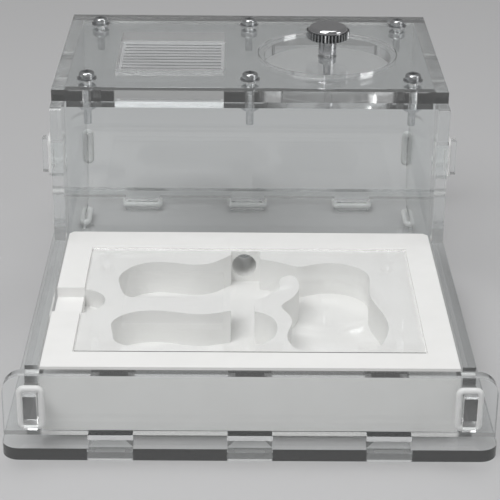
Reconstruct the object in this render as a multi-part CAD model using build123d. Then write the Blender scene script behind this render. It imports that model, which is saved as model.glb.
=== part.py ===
"""Ant nest with foraging box: laser-cut clear acrylic, silicone ring joints and a carved nest block.

Millimetres, +Z up, front towards -Y. Origin: centre of the base plate's footprint, on the ground.
"""

import math
import os

from build123d import *

# Overall sizes
body_width = 100.0
tray_length = 76.9
box_length = 63.5
box_height = 52.0
tray_height = 15.0
side_low_height = 16.0
sheet = 3.0
base_margin = 5.8
side_margin = 5.0

# Corner radii
base_corner = 4.0
ear_corner = 4.5
side_corner = 1.0

# Hooked tabs under the base, narrower ones (tenons) through the sides, and the silicone rings that lock them
tab_width = 10.0
tenon_width = 9.0
tab_reach = 3.0
notch = 1.7
slot_gap = 0.1
ring_cord = 1.5
ring_corner = 1.0
ring_gap = 0.1
base_tab_pitch = 31.2
side_tab_inset = 12.4
front_tenon_height = 7.5
wall_tenon_height = 36.6
back_tenon_height = 15.2
back_ear_height = 26.0
step_lead = 7.3

# Lid of two screwed layers, dropped onto the box
lid_gap = 0.3
lid_overhang = 1.7
screw_inset_x = 8.3
screw_inset_y = 9.0
screw_diameter = 2.0
screw_length = 12.0
head_diameter = 4.0
head_height = 1.6
washer_diameter = 5.0
washer_thickness = 0.3
nut_flats = 4.0
nut_height = 1.6
thread_gap = 0.05

# Vent window and the slatted insert that fills its lower layer
vent_side_margin = 6.7
vent_front_margin = 16.4
vent_back_margin = 16.0
insert_gap = 0.1
slit_width = 0.9
slit_pitch = 2.5
slit_land = 0.8

# Feed hatch: a disc on the ledge between the two layers
hatch_side_margin = 2.15
hatch_shift = -1.0
hatch_gap = 0.3
ledge = 1.7

# Knurled thumb screw on the hatch
knob_diameter = 11.6
knob_head = 3.3
knob_rise = 4.2
knob_neck = 4.8
knurl_count = 36
knurl_depth = 0.4
knob_chamfer = 0.4
knob_crown = 1.1
knob_shank = 9.0

# Nest block and its clear cover
block_gap = 0.3
block_height = 15.5
block_chamfer = 1.2
cover_thickness = 1.0
cover_gap = 0.3
recess_side_margin = 6.6
recess_front_margin = 7.2
recess_back_margin = 9.9
chamber_depth = 9.5
tunnel_diameter = 6.2
tunnel_height = 10.6
tunnel_x = -1.2
notch_width = 12.8
notch_reach = 12.1
notch_depth = 2.6
well_depth = 5.5

# Derived levels and lines
floor_z = tab_reach
deck_z = floor_z + sheet
lid_z = deck_z + box_height
base_width = body_width + 2 * side_margin
base_length = tray_length + box_length + 2 * base_margin
front_y = -base_length / 2 + base_margin
tray_y = front_y + sheet
wall_y = front_y + tray_length
box_y = wall_y + sheet
back_y = wall_y + box_length
room_y = back_y - sheet
half_body = body_width / 2
half_room = half_body - sheet
step_y = wall_y - step_lead
lid_y = wall_y - lid_overhang
lid_mid_y = (lid_y + back_y) / 2


def slab(x0, x1, y0, y1, z0, z1):
    """A box between two corners."""
    centre = Location(((x0 + x1) / 2, (y0 + y1) / 2, (z0 + z1) / 2))
    return centre * Box(x1 - x0, y1 - y0, z1 - z0)


def rod(x, y, z0, z1, diameter):
    """An upright cylinder."""
    return Location((x, y, (z0 + z1) / 2)) * Cylinder(diameter / 2, z1 - z0)


def seat(x, y, z, along, out):
    """A plane on a pierced sheet's outer face: x_dir along the tab's width, z_dir out of the sheet."""
    return Plane(origin=(x, y, z), x_dir=along, z_dir=out)


def hook(width):
    """A tab through one sheet, with a V notch each side just outside it. Local Z points out."""
    half = width / 2
    right = [(half, -sheet), (half, 0), (half - notch, 0), (half, notch), (half, tab_reach)]
    left = [(-u, v) for u, v in reversed(right)]
    outline = Polyline(*right, *left, close=True)
    return extrude(Plane.XZ * make_face(outline), sheet / 2, both=True)


def slot(width):
    """The hole that takes one tab. Local Z points out, the outer face is at zero."""
    wide = width + 2 * slot_gap
    thick = sheet + 2 * slot_gap
    return Location((0, 0, -sheet / 2)) * Box(wide, thick, 2 * sheet)


def ring(width):
    """A silicone ring lying in the two notches of a tab, against the pierced sheet."""
    half_long = width / 2 - notch + ring_cord / 2 * (1 + math.sqrt(2)) + ring_gap
    half_wide = sheet / 2 + ring_cord / 2 + ring_gap
    level = ring_cord / 2 + ring_gap / 2
    path = RectangleRounded(2 * half_long, 2 * half_wide, ring_corner).wire()
    section = Plane(origin=path @ 0, z_dir=path % 0) * Circle(ring_cord / 2)
    return Location((0, 0, level)) * sweep(section, path=path)


def below(x, y, along):
    return seat(x, y, floor_z, along, (0, 0, -1))


# Seats of every hooked tab
across = (1, 0, 0)
deep = (0, 1, 0)
upright = (0, 0, 1)
front_mid_y = front_y + sheet / 2
wall_mid_y = wall_y + sheet / 2
back_mid_y = back_y - sheet / 2
side_mid_x = half_body - sheet / 2
side_tab_y = back_y - side_tab_inset
tab_xs = [-base_tab_pitch, 0, base_tab_pitch]

front_seats = [below(x, front_mid_y, across) for x in tab_xs]
back_seats = [below(x, back_mid_y, across) for x in tab_xs]


def side_seats(sign):
    """Seats of one side panel's own tabs: through the front panel, the back panel and the base."""
    x = sign * side_mid_x
    front = seat(x, front_y, deck_z + front_tenon_height, upright, (0, -1, 0))
    back = seat(x, back_y, deck_z + back_tenon_height, upright, (0, 1, 0))
    return front, back, below(x, side_tab_y, deep)


def wall_seat(sign):
    """Seat of the box wall's tab through one side panel."""
    return seat(sign * half_body, wall_mid_y, deck_z + wall_tenon_height, upright, (sign, 0, 0))


# Base plate
outline = RectangleRounded(base_width, base_length, base_corner)
base_plate = Location((0, 0, floor_z)) * extrude(outline, sheet)
for place in front_seats + back_seats:
    base_plate -= place * slot(tab_width)
for sign in (-1, 1):
    base_plate -= side_seats(sign)[2] * slot(tenon_width)

# Front panel of the tray
half_base = base_width / 2
front_panel = slab(-half_base, half_base, front_y, tray_y, deck_z, deck_z + tray_height)
top_corners = front_panel.edges().filter_by(Axis.Y).group_by(Axis.Z)[-1]
front_panel = fillet(top_corners, ear_corner)
for place in front_seats:
    front_panel += place * hook(tab_width)
for sign in (-1, 1):
    front_panel -= side_seats(sign)[0] * slot(tenon_width)

# Back panel, with ears where the side panels' tenons pass
back_panel = slab(-half_base, half_base, room_y, back_y, deck_z, deck_z + back_ear_height)
top_corners = back_panel.edges().filter_by(Axis.Y).group_by(Axis.Z)[-1]
back_panel = fillet(top_corners, ear_corner)
back_panel += slab(-half_body, half_body, room_y, back_y, deck_z, lid_z)
for place in back_seats:
    back_panel += place * hook(tab_width)
for sign in (-1, 1):
    back_panel -= side_seats(sign)[1] * slot(tenon_width)


# Side panels: low beside the tray, tall beside the box
def side_panel(sign):
    low = deck_z + side_low_height
    corners = [(tray_y, deck_z), (room_y, deck_z), (room_y, lid_z)]
    corners += [(step_y, lid_z), (step_y, low), (tray_y, low)]
    face = make_face(Polyline(*corners, close=True))
    panel = Location((sign * side_mid_x, 0, 0)) * extrude(Plane.YZ * face, sheet / 2, both=True)
    lead = panel.edges().filter_by(Axis.X).group_by(Axis.Z)[-1].sort_by(Axis.Y)[0]
    panel = fillet(lead, side_corner)
    for place in side_seats(sign):
        panel += place * hook(tenon_width)
    return panel - wall_seat(sign) * slot(tenon_width)


side_panel_left = side_panel(-1)
side_panel_right = side_panel(1)

# Wall between the tray and the box, with the ants' doorway
box_front_panel = slab(-half_room, half_room, wall_y, box_y, deck_z, lid_z)
for sign in (-1, 1):
    box_front_panel += wall_seat(sign) * hook(tenon_width)
tunnel_z = deck_z + tunnel_height
doorway = Location((tunnel_x, wall_mid_y, tunnel_z), (90, 0, 0)) * Cylinder(tunnel_diameter / 2, 3 * sheet)
box_front_panel -= doorway

# Silicone rings, grouped by the sheet they press on
rings_front = [side_seats(sign)[0] * ring(tenon_width) for sign in (-1, 1)]
rings_wall = [wall_seat(sign) * ring(tenon_width) for sign in (-1, 1)]
rings_back = [side_seats(sign)[1] * ring(tenon_width) for sign in (-1, 1)]
rings_base = [place * ring(tab_width) for place in back_seats]
rings_base += [side_seats(sign)[2] * ring(tenon_width) for sign in (-1, 1)]

# Lid layers
top_z = lid_z + sheet
lower_z = lid_z - sheet
screw_x = half_body - screw_inset_x
screw_rows = [lid_y + screw_inset_y, back_y - screw_inset_y]
screw_places = [(x, y) for x in (-screw_x, 0, screw_x) for y in screw_rows]
hatch_x = screw_x / 2
hatch_y = lid_mid_y + hatch_shift
hatch_hole = screw_x - 2 * hatch_side_margin
vent_x = -screw_x / 2
vent_width = screw_x - 2 * vent_side_margin
vent_y0 = lid_y + vent_front_margin
vent_y1 = back_y - vent_back_margin
vent_y = (vent_y0 + vent_y1) / 2

lid_top_plate = slab(-half_body, half_body, lid_y, back_y, lid_z, top_z)
lid_lower_plate = slab(
    -half_room + lid_gap, half_room - lid_gap, box_y + lid_gap, room_y - lid_gap, lower_z, lid_z
)
window = slab(vent_x - vent_width / 2, vent_x + vent_width / 2, vent_y0, vent_y1, lower_z - 1, top_z + 1)
lid_top_plate -= window
lid_lower_plate -= window
lid_top_plate -= rod(hatch_x, hatch_y, lid_z - 1, top_z + 1, hatch_hole)
lid_lower_plate -= rod(hatch_x, hatch_y, lower_z - 1, lid_z + 1, hatch_hole - 2 * ledge)
for x, y in screw_places:
    hole = rod(x, y, lower_z - 1, top_z + 1, screw_diameter + 2 * slot_gap)
    lid_top_plate -= hole
    lid_lower_plate -= hole

# Slatted insert, flush with the lower layer
insert_x = vent_width / 2 - insert_gap
insert_y0 = vent_y0 + insert_gap
insert_y1 = vent_y1 - insert_gap
vent_insert = slab(vent_x - insert_x, vent_x + insert_x, insert_y0, insert_y1, lower_z, lid_z)
slit_run = insert_y1 - insert_y0 - 2 * slit_land
slit_count = int(slit_run / slit_pitch)
slit_length = 2 * (insert_x - slit_land)
first_slit = (insert_y0 + insert_y1 - (slit_count - 1) * slit_pitch) / 2
for index in range(slit_count):
    place = Location((vent_x, first_slit + index * slit_pitch, lid_z))
    vent_insert -= place * Box(slit_length, slit_width, 3 * sheet)


def socket(x, y, z, width, depth):
    """A cross recess in a pan head, open upwards."""
    bar = Location((x, y, z)) * Box(width, width / 4, 2 * depth)
    return bar + Location((x, y, z)) * Box(width / 4, width, 2 * depth)


def pan_screw(x, y, seat_z):
    """Pan-head screw whose head sits on seat_z, with a plain shank for its thread."""
    head = rod(x, y, seat_z, seat_z + head_height, head_diameter)
    rim = head.edges().filter_by(GeomType.CIRCLE).group_by(Axis.Z)[-1]
    head = fillet(rim, head_height * 0.4)
    head -= socket(x, y, seat_z + head_height, head_diameter * 0.55, head_height * 0.5)
    return head + rod(x, y, seat_z - screw_length, seat_z, screw_diameter)


def washer(x, y, low_z, outer):
    disc = rod(x, y, low_z, low_z + washer_thickness, outer)
    return disc - rod(x, y, low_z - 1, low_z + washer_thickness + 1, screw_diameter + 2 * slot_gap)


def hex_nut(x, y, high_z):
    """Hexagon nut hanging from high_z."""
    shape = RegularPolygon(nut_flats / 2, 6, major_radius=False)
    nut = Location((x, y, high_z - nut_height)) * extrude(shape, nut_height)
    return nut - rod(x, y, high_z - nut_height - 1, high_z + 1, screw_diameter + 2 * thread_gap)


lid_washers = [washer(x, y, top_z, washer_diameter) for x, y in screw_places]
lid_screws = [pan_screw(x, y, top_z + washer_thickness) for x, y in screw_places]
lid_nuts = [hex_nut(x, y, lower_z) for x, y in screw_places]

# Feed hatch
feed_hatch = rod(hatch_x, hatch_y, lid_z, top_z, hatch_hole - 2 * hatch_gap)
feed_hatch -= rod(hatch_x, hatch_y, lid_z - 1, top_z + 1, screw_diameter + 2 * slot_gap)
hatch_washer = washer(hatch_x, hatch_y, lid_z - washer_thickness, washer_diameter)
hatch_nut = hex_nut(hatch_x, hatch_y, lid_z - washer_thickness)


def knurled(radius, depth, count):
    """A circle outline with V grooves all round."""
    points = []
    for index in range(2 * count):
        angle = math.pi * index / count
        reach = radius - depth * (index % 2)
        points.append((reach * math.cos(angle), reach * math.sin(angle)))
    return make_face(Polyline(*points, close=True))


head_z = top_z + knob_rise
crown_z = head_z + knob_head - knob_crown
grip = Location((0, 0, head_z)) * extrude(knurled(knob_diameter / 2, knurl_depth, knurl_count), crown_z - head_z)
barrel = rod(0, 0, head_z, crown_z, knob_diameter)
low_rim = barrel.edges().filter_by(GeomType.CIRCLE).group_by(Axis.Z)[0]
barrel = chamfer(low_rim, knob_chamfer)
crown = rod(0, 0, crown_z, head_z + knob_head, knob_diameter - 3 * knurl_depth)
high_rim = crown.edges().filter_by(GeomType.CIRCLE).group_by(Axis.Z)[-1]
crown = fillet(high_rim, 0.9 * knob_crown)
stem = rod(0, 0, top_z, head_z, knob_neck) + rod(0, 0, top_z - knob_shank, top_z, screw_diameter)
knob = (grip & barrel) + crown + stem
feed_knob = Location((hatch_x, hatch_y, 0)) * knob

# Nest block
block_x = half_room - block_gap
block_y0 = tray_y + block_gap
block_y1 = wall_y - block_gap
block_top = deck_z + block_height
recess_x = block_x - recess_side_margin
recess_y0 = block_y0 + recess_front_margin
recess_y1 = block_y1 - recess_back_margin
recess_mid_y = (recess_y0 + recess_y1) / 2
recess_floor = block_top - cover_thickness
chamber_floor = block_top - chamber_depth
stretch_x = recess_x / 40.1
stretch_y = (recess_y1 - recess_y0) / 56.2


def at(x, y):
    """A point of the carving, given about the cover's centre."""
    return x * stretch_x, recess_mid_y + y * stretch_y


def passage(x0, x1, y0, y1):
    """A straight-sided patch of the carving."""
    (left, front), (right, back) = at(x0, y0), at(x1, y1)
    return Location(((left + right) / 2, (front + back) / 2)) * Rectangle(right - left, back - front)


def hollow(*points):
    """A smooth closed patch of the carving."""
    return make_face(Spline(*[at(x, y) for x, y in points], periodic=True))


nest_block = slab(-block_x, block_x, block_y0, block_y1, deck_z, block_top)
rear_corners = nest_block.edges().filter_by(Axis.Z).group_by(Axis.Y)[-1]
nest_block = chamfer(rear_corners, block_chamfer)
nest_block -= slab(-recess_x, recess_x, recess_y0, recess_y1, recess_floor, block_top + 1)

# Four rooms about a straight corridor that ends in a square shaft at the tunnel
back_left = hollow(
    (-31.9, 8.0), (-30.6, 15.6), (-26.0, 19.7), (-20.0, 20.2), (-14.0, 18.9), (-8.6, 20.6), (-2.5, 26.0),
    (1.0, 16.0), (-2.5, 7.0), (-7.4, 2.0), (-15.0, 0.9), (-24.0, 1.0), (-29.0, 0.6),
)
front_left = hollow(
    (-32.1, -16.4), (-30.9, -10.2), (-27.0, -7.4), (-19.0, -7.1), (-10.0, -8.4), (-3.0, -6.6),
    (0.0, -16.0), (-3.0, -25.2), (-10.0, -25.4), (-19.0, -23.9), (-27.0, -24.8), (-30.8, -22.4),
)
alcove = hollow((-3.0, -8.0), (1.4, -7.0), (5.2, -10.0), (6.4, -15.3), (5.0, -21.0), (1.4, -24.0), (-3.0, -22.0))
right_room = hollow(
    (1.0, 22.6), (5.0, 21.6), (8.6, 19.9), (12.6, 18.1), (16.2, 19.4), (20.6, 20.2), (25.2, 19.0), (29.2, 14.4),
    (29.1, 3.0), (30.7, -4.6), (32.3, -12.0), (31.4, -19.8), (28.0, -25.6), (19.5, -26.4), (11.0, -25.8),
    (8.6, -19.0), (9.9, -12.0), (8.7, -7.2), (7.6, -4.0), (9.6, -0.6), (11.8, 4.4), (12.0, 9.8), (10.2, 12.9),
    (8.0, 11.4), (7.3, 5.6), (4.6, 2.0), (-1.0, -3.4), (-2.0, 10.0),
)
corridor = passage(-4.5, 1.2, -26.8, 12) + passage(-4.5, 2.8, 4.5, 27.0)
carving = back_left + front_left + alcove + right_room + corridor
nest_block -= Location((0, 0, chamber_floor)) * extrude(carving, chamber_depth)

bore_length = block_y1 - recess_mid_y - 25 * stretch_y
bore_y = block_y1 - bore_length / 2
bore = Location((tunnel_x, bore_y, tunnel_z), (90, 0, 0)) * Cylinder(tunnel_diameter / 2, bore_length + 2)
nest_block -= bore

notch_y = recess_mid_y - 1.8 * stretch_y
notch_x = -block_x + notch_reach - notch_width / 2
notch_y0 = notch_y - notch_width / 2
notch_y1 = notch_y + notch_width / 2
nest_block -= slab(-block_x - 1, -recess_x, notch_y0, notch_y1, block_top - notch_depth, block_top + 1)
well = rod(notch_x, notch_y, block_top - well_depth, block_top + 1, notch_width)
nest_block -= well & slab(-recess_x, 0, notch_y0 - 1, notch_y1 + 1, deck_z, block_top + 2)

nest_cover = slab(
    -recess_x + cover_gap, recess_x - cover_gap, recess_y0 + cover_gap, recess_y1 - cover_gap, recess_floor, block_top
)

parts = {
    "base_plate": base_plate,
    "front_panel": front_panel,
    "back_panel": back_panel,
    "side_panel_left": side_panel_left,
    "side_panel_right": side_panel_right,
    "box_front_panel": box_front_panel,
    "rings_front": rings_front,
    "rings_wall": rings_wall,
    "rings_back": rings_back,
    "rings_base": rings_base,
    "lid_top_plate": lid_top_plate,
    "lid_lower_plate": lid_lower_plate,
    "vent_insert": vent_insert,
    "lid_screws": lid_screws,
    "lid_washers": lid_washers,
    "lid_nuts": lid_nuts,
    "feed_hatch": feed_hatch,
    "feed_knob": feed_knob,
    "hatch_washer": hatch_washer,
    "hatch_nut": hatch_nut,
    "nest_block": nest_block,
    "nest_cover": nest_cover,
}

os.makedirs("parts", exist_ok=True)
for name, shape in parts.items():
    if isinstance(shape, list):
        shape = Compound(children=shape)
    export_step(shape, f"parts/{name}.step")
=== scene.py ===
"""Looks of the clear acrylic ant nest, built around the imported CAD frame.

Metres, +Z up, front towards -Y.
"""

import bpy
from mathutils import Matrix, Vector

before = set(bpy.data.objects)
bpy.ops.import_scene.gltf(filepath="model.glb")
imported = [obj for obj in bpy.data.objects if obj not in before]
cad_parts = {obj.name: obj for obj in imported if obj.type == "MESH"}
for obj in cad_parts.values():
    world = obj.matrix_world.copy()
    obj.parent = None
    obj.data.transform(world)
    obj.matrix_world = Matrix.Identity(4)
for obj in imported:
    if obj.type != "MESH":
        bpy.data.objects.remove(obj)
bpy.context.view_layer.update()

# Camera, floor and light
CAMERA_PLACE = (-0.0036795, -0.390935, 0.1993043)
CAMERA_RIGHT = (0.99993827, -0.005841, 0.00945171)
CAMERA_UP = (-0.00614459, 0.41804199, 0.90840692)
CAMERA_FORWARD = (0.00925722, 0.90840893, -0.41798029)
CAMERA_LENS = 119.83
SENSOR = 36.0
FLOOR_SIZE = 6.0
WORLD_LIGHT = 0.24

# Clear sheets: refraction, grain of the cut edges, and the air gap that keeps touching sheets apart
ACRYLIC_IOR = 1.49
RIB_SCALE = 2600.0
RIB_LENGTH_SCALE = 160.0
SHRINK = 0.00002
WELD = 0.000002

# Knob, as distances from its axis: smooth crown inside, then the knurl's grooves (where painted
# shade goes), then its ridges
CROWN_EDGE = 0.00526
GROOVE_START = 0.00534
GROOVE_FULL = 0.00548
RIDGE_START = 0.00574


def make_camera():
    """Long lens looking slightly down at the front."""
    data = bpy.data.cameras.new("camera")
    data.lens = CAMERA_LENS
    data.sensor_width = SENSOR
    data.clip_start = 0.01
    data.clip_end = 50
    camera = bpy.data.objects.new("camera", data)
    bpy.context.scene.collection.objects.link(camera)
    right, up, back = Vector(CAMERA_RIGHT), Vector(CAMERA_UP), -Vector(CAMERA_FORWARD)
    turn = Matrix((right, up, back)).transposed().to_4x4()
    camera.matrix_world = Matrix.Translation(CAMERA_PLACE) @ turn
    bpy.context.scene.camera = camera


def area_light(name, place, target, size, power):
    """Soft white rectangle aimed at target."""
    data = bpy.data.lights.new(name, "AREA")
    data.shape = "RECTANGLE"
    data.size, data.size_y = size
    data.energy = power
    light = bpy.data.objects.new(name, data)
    light.location = place
    light.rotation_euler = (Vector(target) - Vector(place)).to_track_quat("-Z", "Y").to_euler()
    bpy.context.scene.collection.objects.link(light)


class Recipe:
    """A material and short ways to add nodes to it."""

    def __init__(self, name):
        self.material = bpy.data.materials.new(name)
        self.material.use_nodes = True
        self.tree = self.material.node_tree
        self.tree.nodes.clear()
        self.out = self.tree.nodes.new("ShaderNodeOutputMaterial")
        self.shader = self.tree.nodes.new("ShaderNodeBsdfPrincipled")
        self.tree.links.new(self.shader.outputs[0], self.out.inputs["Surface"])
        self.place = self.tree.nodes.new("ShaderNodeTexCoord")

    def link(self, source, target):
        self.tree.links.new(source, target)

    def set(self, **values):
        for key, value in values.items():
            self.shader.inputs[key.replace("_", " ")].default_value = value

    def scaled(self, scale):
        node = self.tree.nodes.new("ShaderNodeMapping")
        node.inputs["Scale"].default_value = scale
        self.link(self.place.outputs["Object"], node.inputs["Vector"])
        return node.outputs["Vector"]

    def noise(self, scale, detail=3.0, rough=0.55, vector=None):
        node = self.tree.nodes.new("ShaderNodeTexNoise")
        node.inputs["Scale"].default_value = scale
        node.inputs["Detail"].default_value = detail
        node.inputs["Roughness"].default_value = rough
        self.link(vector or self.place.outputs["Object"], node.inputs["Vector"])
        return node.outputs["Fac"]

    def span(self, value, low, high, start=0.0, end=1.0):
        node = self.tree.nodes.new("ShaderNodeMapRange")
        node.inputs["From Min"].default_value = start
        node.inputs["From Max"].default_value = end
        node.inputs["To Min"].default_value = low
        node.inputs["To Max"].default_value = high
        self.link(value, node.inputs["Value"])
        return node.outputs["Result"]

    def math(self, kind, first, second):
        node = self.tree.nodes.new("ShaderNodeMath")
        node.operation = kind
        for socket, value in zip(node.inputs, (first, second)):
            if isinstance(value, (int, float)):
                socket.default_value = value
            elif value is not None:
                self.link(value, socket)
        return node.outputs[0]

    def mix(self, factor, first, second):
        """first + factor * (second - first), for numbers that may be sockets."""
        node = self.tree.nodes.new("ShaderNodeMix")
        self.link(factor, node.inputs[0])
        for socket, value in ((node.inputs[2], first), (node.inputs[3], second)):
            if isinstance(value, (int, float)):
                socket.default_value = value
            else:
                self.link(value, socket)
        return node.outputs[0]

    def ramp(self, value, low, high):
        node = self.tree.nodes.new("ShaderNodeValToRGB")
        node.color_ramp.elements[0].color = (*low, 1)
        node.color_ramp.elements[1].color = (*high, 1)
        self.link(value, node.inputs["Fac"])
        return node.outputs["Color"]

    def bump(self, height, strength, distance):
        node = self.tree.nodes.new("ShaderNodeBump")
        node.inputs["Strength"].default_value = strength
        node.inputs["Distance"].default_value = distance
        self.link(height, node.inputs["Height"])
        self.link(node.outputs["Normal"], self.shader.inputs["Normal"])

    def lets_lamps_through(self, share):
        """Shadow and diffuse rays pass, so a clear sheet casts only a faint shadow."""
        clear = self.tree.nodes.new("ShaderNodeBsdfTransparent")
        clear.inputs["Color"].default_value = (share, share, share, 1)
        path = self.tree.nodes.new("ShaderNodeLightPath")
        both = self.tree.nodes.new("ShaderNodeMixShader")
        passing = self.math("MAXIMUM", path.outputs["Is Shadow Ray"], path.outputs["Is Diffuse Ray"])
        self.link(passing, both.inputs[0])
        self.link(self.shader.outputs[0], both.inputs[1])
        self.link(clear.outputs[0], both.inputs[2])
        self.link(both.outputs[0], self.out.inputs["Surface"])


def acrylic(
    name,
    axis,
    tint=(0.965, 0.978, 0.978),
    edge_rough=0.09,
    frost=0.09,
    rib_depth=0.000008,
    shade=0.95,
):
    """Clear cast sheet lying across axis: polished faces, ribbed and slightly frosted cut edges."""
    recipe = Recipe(name)
    recipe.set(IOR=ACRYLIC_IOR)
    split = recipe.tree.nodes.new("ShaderNodeSeparateXYZ")
    recipe.link(recipe.place.outputs["Normal"], split.inputs[0])
    facing = recipe.math("ABSOLUTE", split.outputs["XYZ".index(axis)], None)
    edge = recipe.span(facing, 1.0, 0.0, 0.35, 0.75)
    along = [RIB_SCALE, RIB_SCALE, RIB_SCALE]
    along["XYZ".index(axis)] = RIB_LENGTH_SCALE
    ribs = recipe.noise(1.0, 2.0, 0.6, recipe.scaled(along))
    smears = recipe.noise(38.0, 5.0, 0.6)
    face_rough = recipe.span(smears, 0.0, 0.035, 0.45, 0.75)
    rib_rough = recipe.span(ribs, edge_rough * 0.6, edge_rough * 1.3, 0.3, 0.7)
    recipe.link(recipe.mix(edge, face_rough, rib_rough), recipe.shader.inputs["Roughness"])
    recipe.link(recipe.span(edge, 1.0, 1.0 - frost), recipe.shader.inputs["Transmission Weight"])
    pale = tuple(min(1.0, part * 1.01) for part in tint)
    recipe.link(recipe.ramp(smears, tint, pale), recipe.shader.inputs["Base Color"])
    recipe.bump(recipe.math("MULTIPLY", ribs, edge), 0.25, rib_depth)
    recipe.lets_lamps_through(shade)
    return recipe.material


def silicone(name):
    """Translucent milky rubber with a soft satin skin."""
    recipe = Recipe(name)
    recipe.set(IOR=1.42, Subsurface_Weight=0.4, Subsurface_Scale=0.001, Transmission_Weight=0.2)
    recipe.shader.inputs["Subsurface Radius"].default_value = (1.0, 1.0, 1.0)
    cloud = recipe.noise(420.0, 4.0)
    milky = recipe.ramp(cloud, (0.84, 0.85, 0.845), (0.93, 0.935, 0.93))
    recipe.link(milky, recipe.shader.inputs["Base Color"])
    recipe.link(recipe.span(cloud, 0.32, 0.5), recipe.shader.inputs["Roughness"])
    recipe.bump(recipe.noise(1800.0, 2.0), 0.15, 0.00004)
    return recipe.material


def metal(name, dark, light, rough, grain=(900.0, 900.0, 900.0)):
    """Satin metal whose tone and roughness follow a fine grain."""
    recipe = Recipe(name)
    recipe.set(Metallic=1.0)
    lines = recipe.noise(1.0, 4.0, 0.6, recipe.scaled(grain))
    recipe.link(recipe.ramp(lines, dark, light), recipe.shader.inputs["Base Color"])
    recipe.link(recipe.span(lines, rough * 0.7, rough * 1.4), recipe.shader.inputs["Roughness"])
    recipe.bump(lines, 0.3, 0.00001)
    return recipe.material


def knurled_metal(name, node):
    """Bright plating, with painted shade darkening the bottoms of the knurl's grooves."""
    recipe = Recipe(name)
    recipe.set(Metallic=1.0)
    corners = [Vector(corner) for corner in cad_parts[node].bound_box]
    centre = sum(corners, Vector()) / len(corners)
    shift = recipe.tree.nodes.new("ShaderNodeMapping")
    shift.inputs["Location"].default_value = (-centre.x, -centre.y, 0)
    recipe.link(recipe.place.outputs["Object"], shift.inputs["Vector"])
    parts = recipe.tree.nodes.new("ShaderNodeSeparateXYZ")
    recipe.link(shift.outputs["Vector"], parts.inputs[0])
    across = recipe.math("MULTIPLY", parts.outputs[0], parts.outputs[0])
    deep = recipe.math("MULTIPLY", parts.outputs[1], parts.outputs[1])
    radius = recipe.math("SQRT", recipe.math("ADD", across, deep), None)
    outside_crown = recipe.span(radius, 0.0, 1.0, CROWN_EDGE, GROOVE_START)
    inside_ridge = recipe.span(radius, 1.0, 0.0, GROOVE_FULL, RIDGE_START)
    # Painted shade: the knurl's grooves, between crown and ridges, get a far darker base colour that
    # stands in for the shade falling in them
    groove_shade_mask = recipe.math("MULTIPLY", outside_crown, inside_ridge)
    stains = recipe.noise(1400.0, 4.0)
    groove_shaded_tone = recipe.span(groove_shade_mask, 0.62, 0.10)
    stain_and_shade_tone = recipe.math("MULTIPLY", groove_shaded_tone, recipe.span(stains, 0.88, 1.0))
    # The plating colour carries the painted groove shade and a faint random stain tone
    plating = recipe.ramp(stain_and_shade_tone, (0.0, 0.0, 0.0), (1.0, 1.0, 1.02))
    recipe.link(plating, recipe.shader.inputs["Base Color"])
    recipe.link(recipe.span(stains, 0.10, 0.18), recipe.shader.inputs["Roughness"])
    return recipe.material


def nest_white(name):
    """Matte white machined plastic: faint cutter marks and a chalky mottle."""
    recipe = Recipe(name)
    mottle = recipe.noise(90.0, 6.0, 0.62)
    grain = recipe.noise(1400.0, 3.0)
    chalk = recipe.ramp(mottle, (0.80, 0.80, 0.785), (0.90, 0.90, 0.89))
    recipe.link(chalk, recipe.shader.inputs["Base Color"])
    recipe.link(recipe.span(grain, 0.5, 0.68), recipe.shader.inputs["Roughness"])
    relief = recipe.math("ADD", grain, recipe.math("MULTIPLY", mottle, 2.0))
    recipe.bump(relief, 0.25, 0.00005)
    return recipe.material


def floor_paint(name):
    """Pale, barely clouded matte floor."""
    recipe = Recipe(name)
    cloud = recipe.noise(3.0, 3.0)
    pale = recipe.ramp(cloud, (0.50, 0.50, 0.505), (0.53, 0.53, 0.535))
    recipe.link(pale, recipe.shader.inputs["Base Color"])
    recipe.set(Roughness=0.75)
    return recipe.material


def dress(node, material, shrink=False):
    """Give a CAD node its material; shrink leaves a film of air around a clear sheet."""
    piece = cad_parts[node]
    piece.data.materials.clear()
    piece.data.materials.append(material)
    if shrink:
        weld = piece.modifiers.new("weld", "WELD")
        weld.merge_threshold = WELD
        thin = piece.modifiers.new("air", "DISPLACE")
        thin.strength = -SHRINK
        thin.mid_level = 0.0


make_camera()

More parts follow.
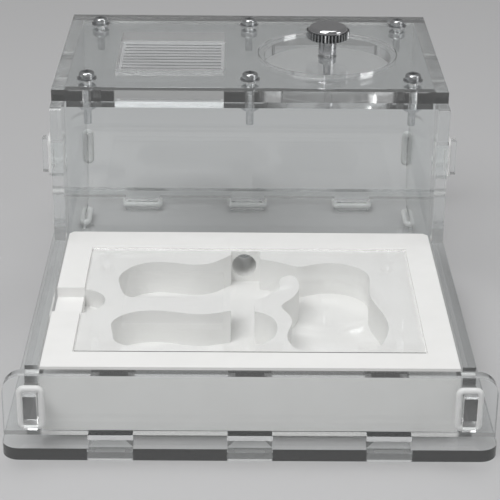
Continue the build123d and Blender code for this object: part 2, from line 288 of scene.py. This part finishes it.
bpy.ops.mesh.primitive_plane_add(size=FLOOR_SIZE, location=(0, 0, 0))
floor = bpy.context.object
floor.name = "floor"
floor.data.materials.append(floor_paint("floor"))

world = bpy.data.worlds.new("world")
bpy.context.scene.world = world
world.use_nodes = True
world.node_tree.nodes["Background"].inputs[0].default_value = (1.0, 1.0, 1.0, 1)
world.node_tree.nodes["Background"].inputs[1].default_value = WORLD_LIGHT
area_light("key", (-0.30, -0.42, 0.80), (0, 0, 0.02), (0.55, 0.45), 5.4)
area_light("top", (0.10, 0.20, 0.95), (0, 0, 0.03), (0.6, 0.4), 2.0)
area_light("fill", (0.75, -0.30, 0.40), (0, 0, 0.03), (0.35, 0.45), 1.1)
bpy.context.scene.view_settings.view_transform = "Standard"

sheets = {
    "base_plate": "Z",
    "front_panel": "Y",
    "back_panel": "Y",
    "box_front_panel": "Y",
    "side_panel_left": "X",
    "side_panel_right": "X",
    "lid_top_plate": "Z",
    "lid_lower_plate": "Z",
    "feed_hatch": "Z",
}
clear = {axis: acrylic("acrylic_" + axis.lower(), axis) for axis in "XYZ"}
for node, axis in sheets.items():
    dress(node, clear[axis], shrink=True)
cover_clear = acrylic(
    "cover_clear",
    "Z",
    tint=(0.99, 0.995, 0.995),
    edge_rough=0.05,
    frost=0.03,
    rib_depth=0.000001,
    shade=1.0,
)
dress("nest_cover", cover_clear, shrink=True)
for node in ("rings_front", "rings_wall", "rings_back", "rings_base"):
    dress(node, silicone("silicone_" + node))
steel = metal("steel", (0.45, 0.46, 0.47), (0.72, 0.73, 0.74), 0.22)
dress("lid_screws", steel)
dress("lid_nuts", steel)
dress("hatch_nut", steel)
washer_steel = metal("washer_steel", (0.30, 0.30, 0.31), (0.52, 0.53, 0.54), 0.3)
dress("lid_washers", washer_steel)
dress("hatch_washer", washer_steel)
dress("feed_knob", knurled_metal("knob_metal", "feed_knob"))
vent_metal = metal("vent_metal", (0.74, 0.75, 0.76), (0.90, 0.905, 0.91), 0.5, (80.0, 2500.0, 900.0))
dress("vent_insert", vent_metal)
dress("nest_block", nest_white("nest_white"))
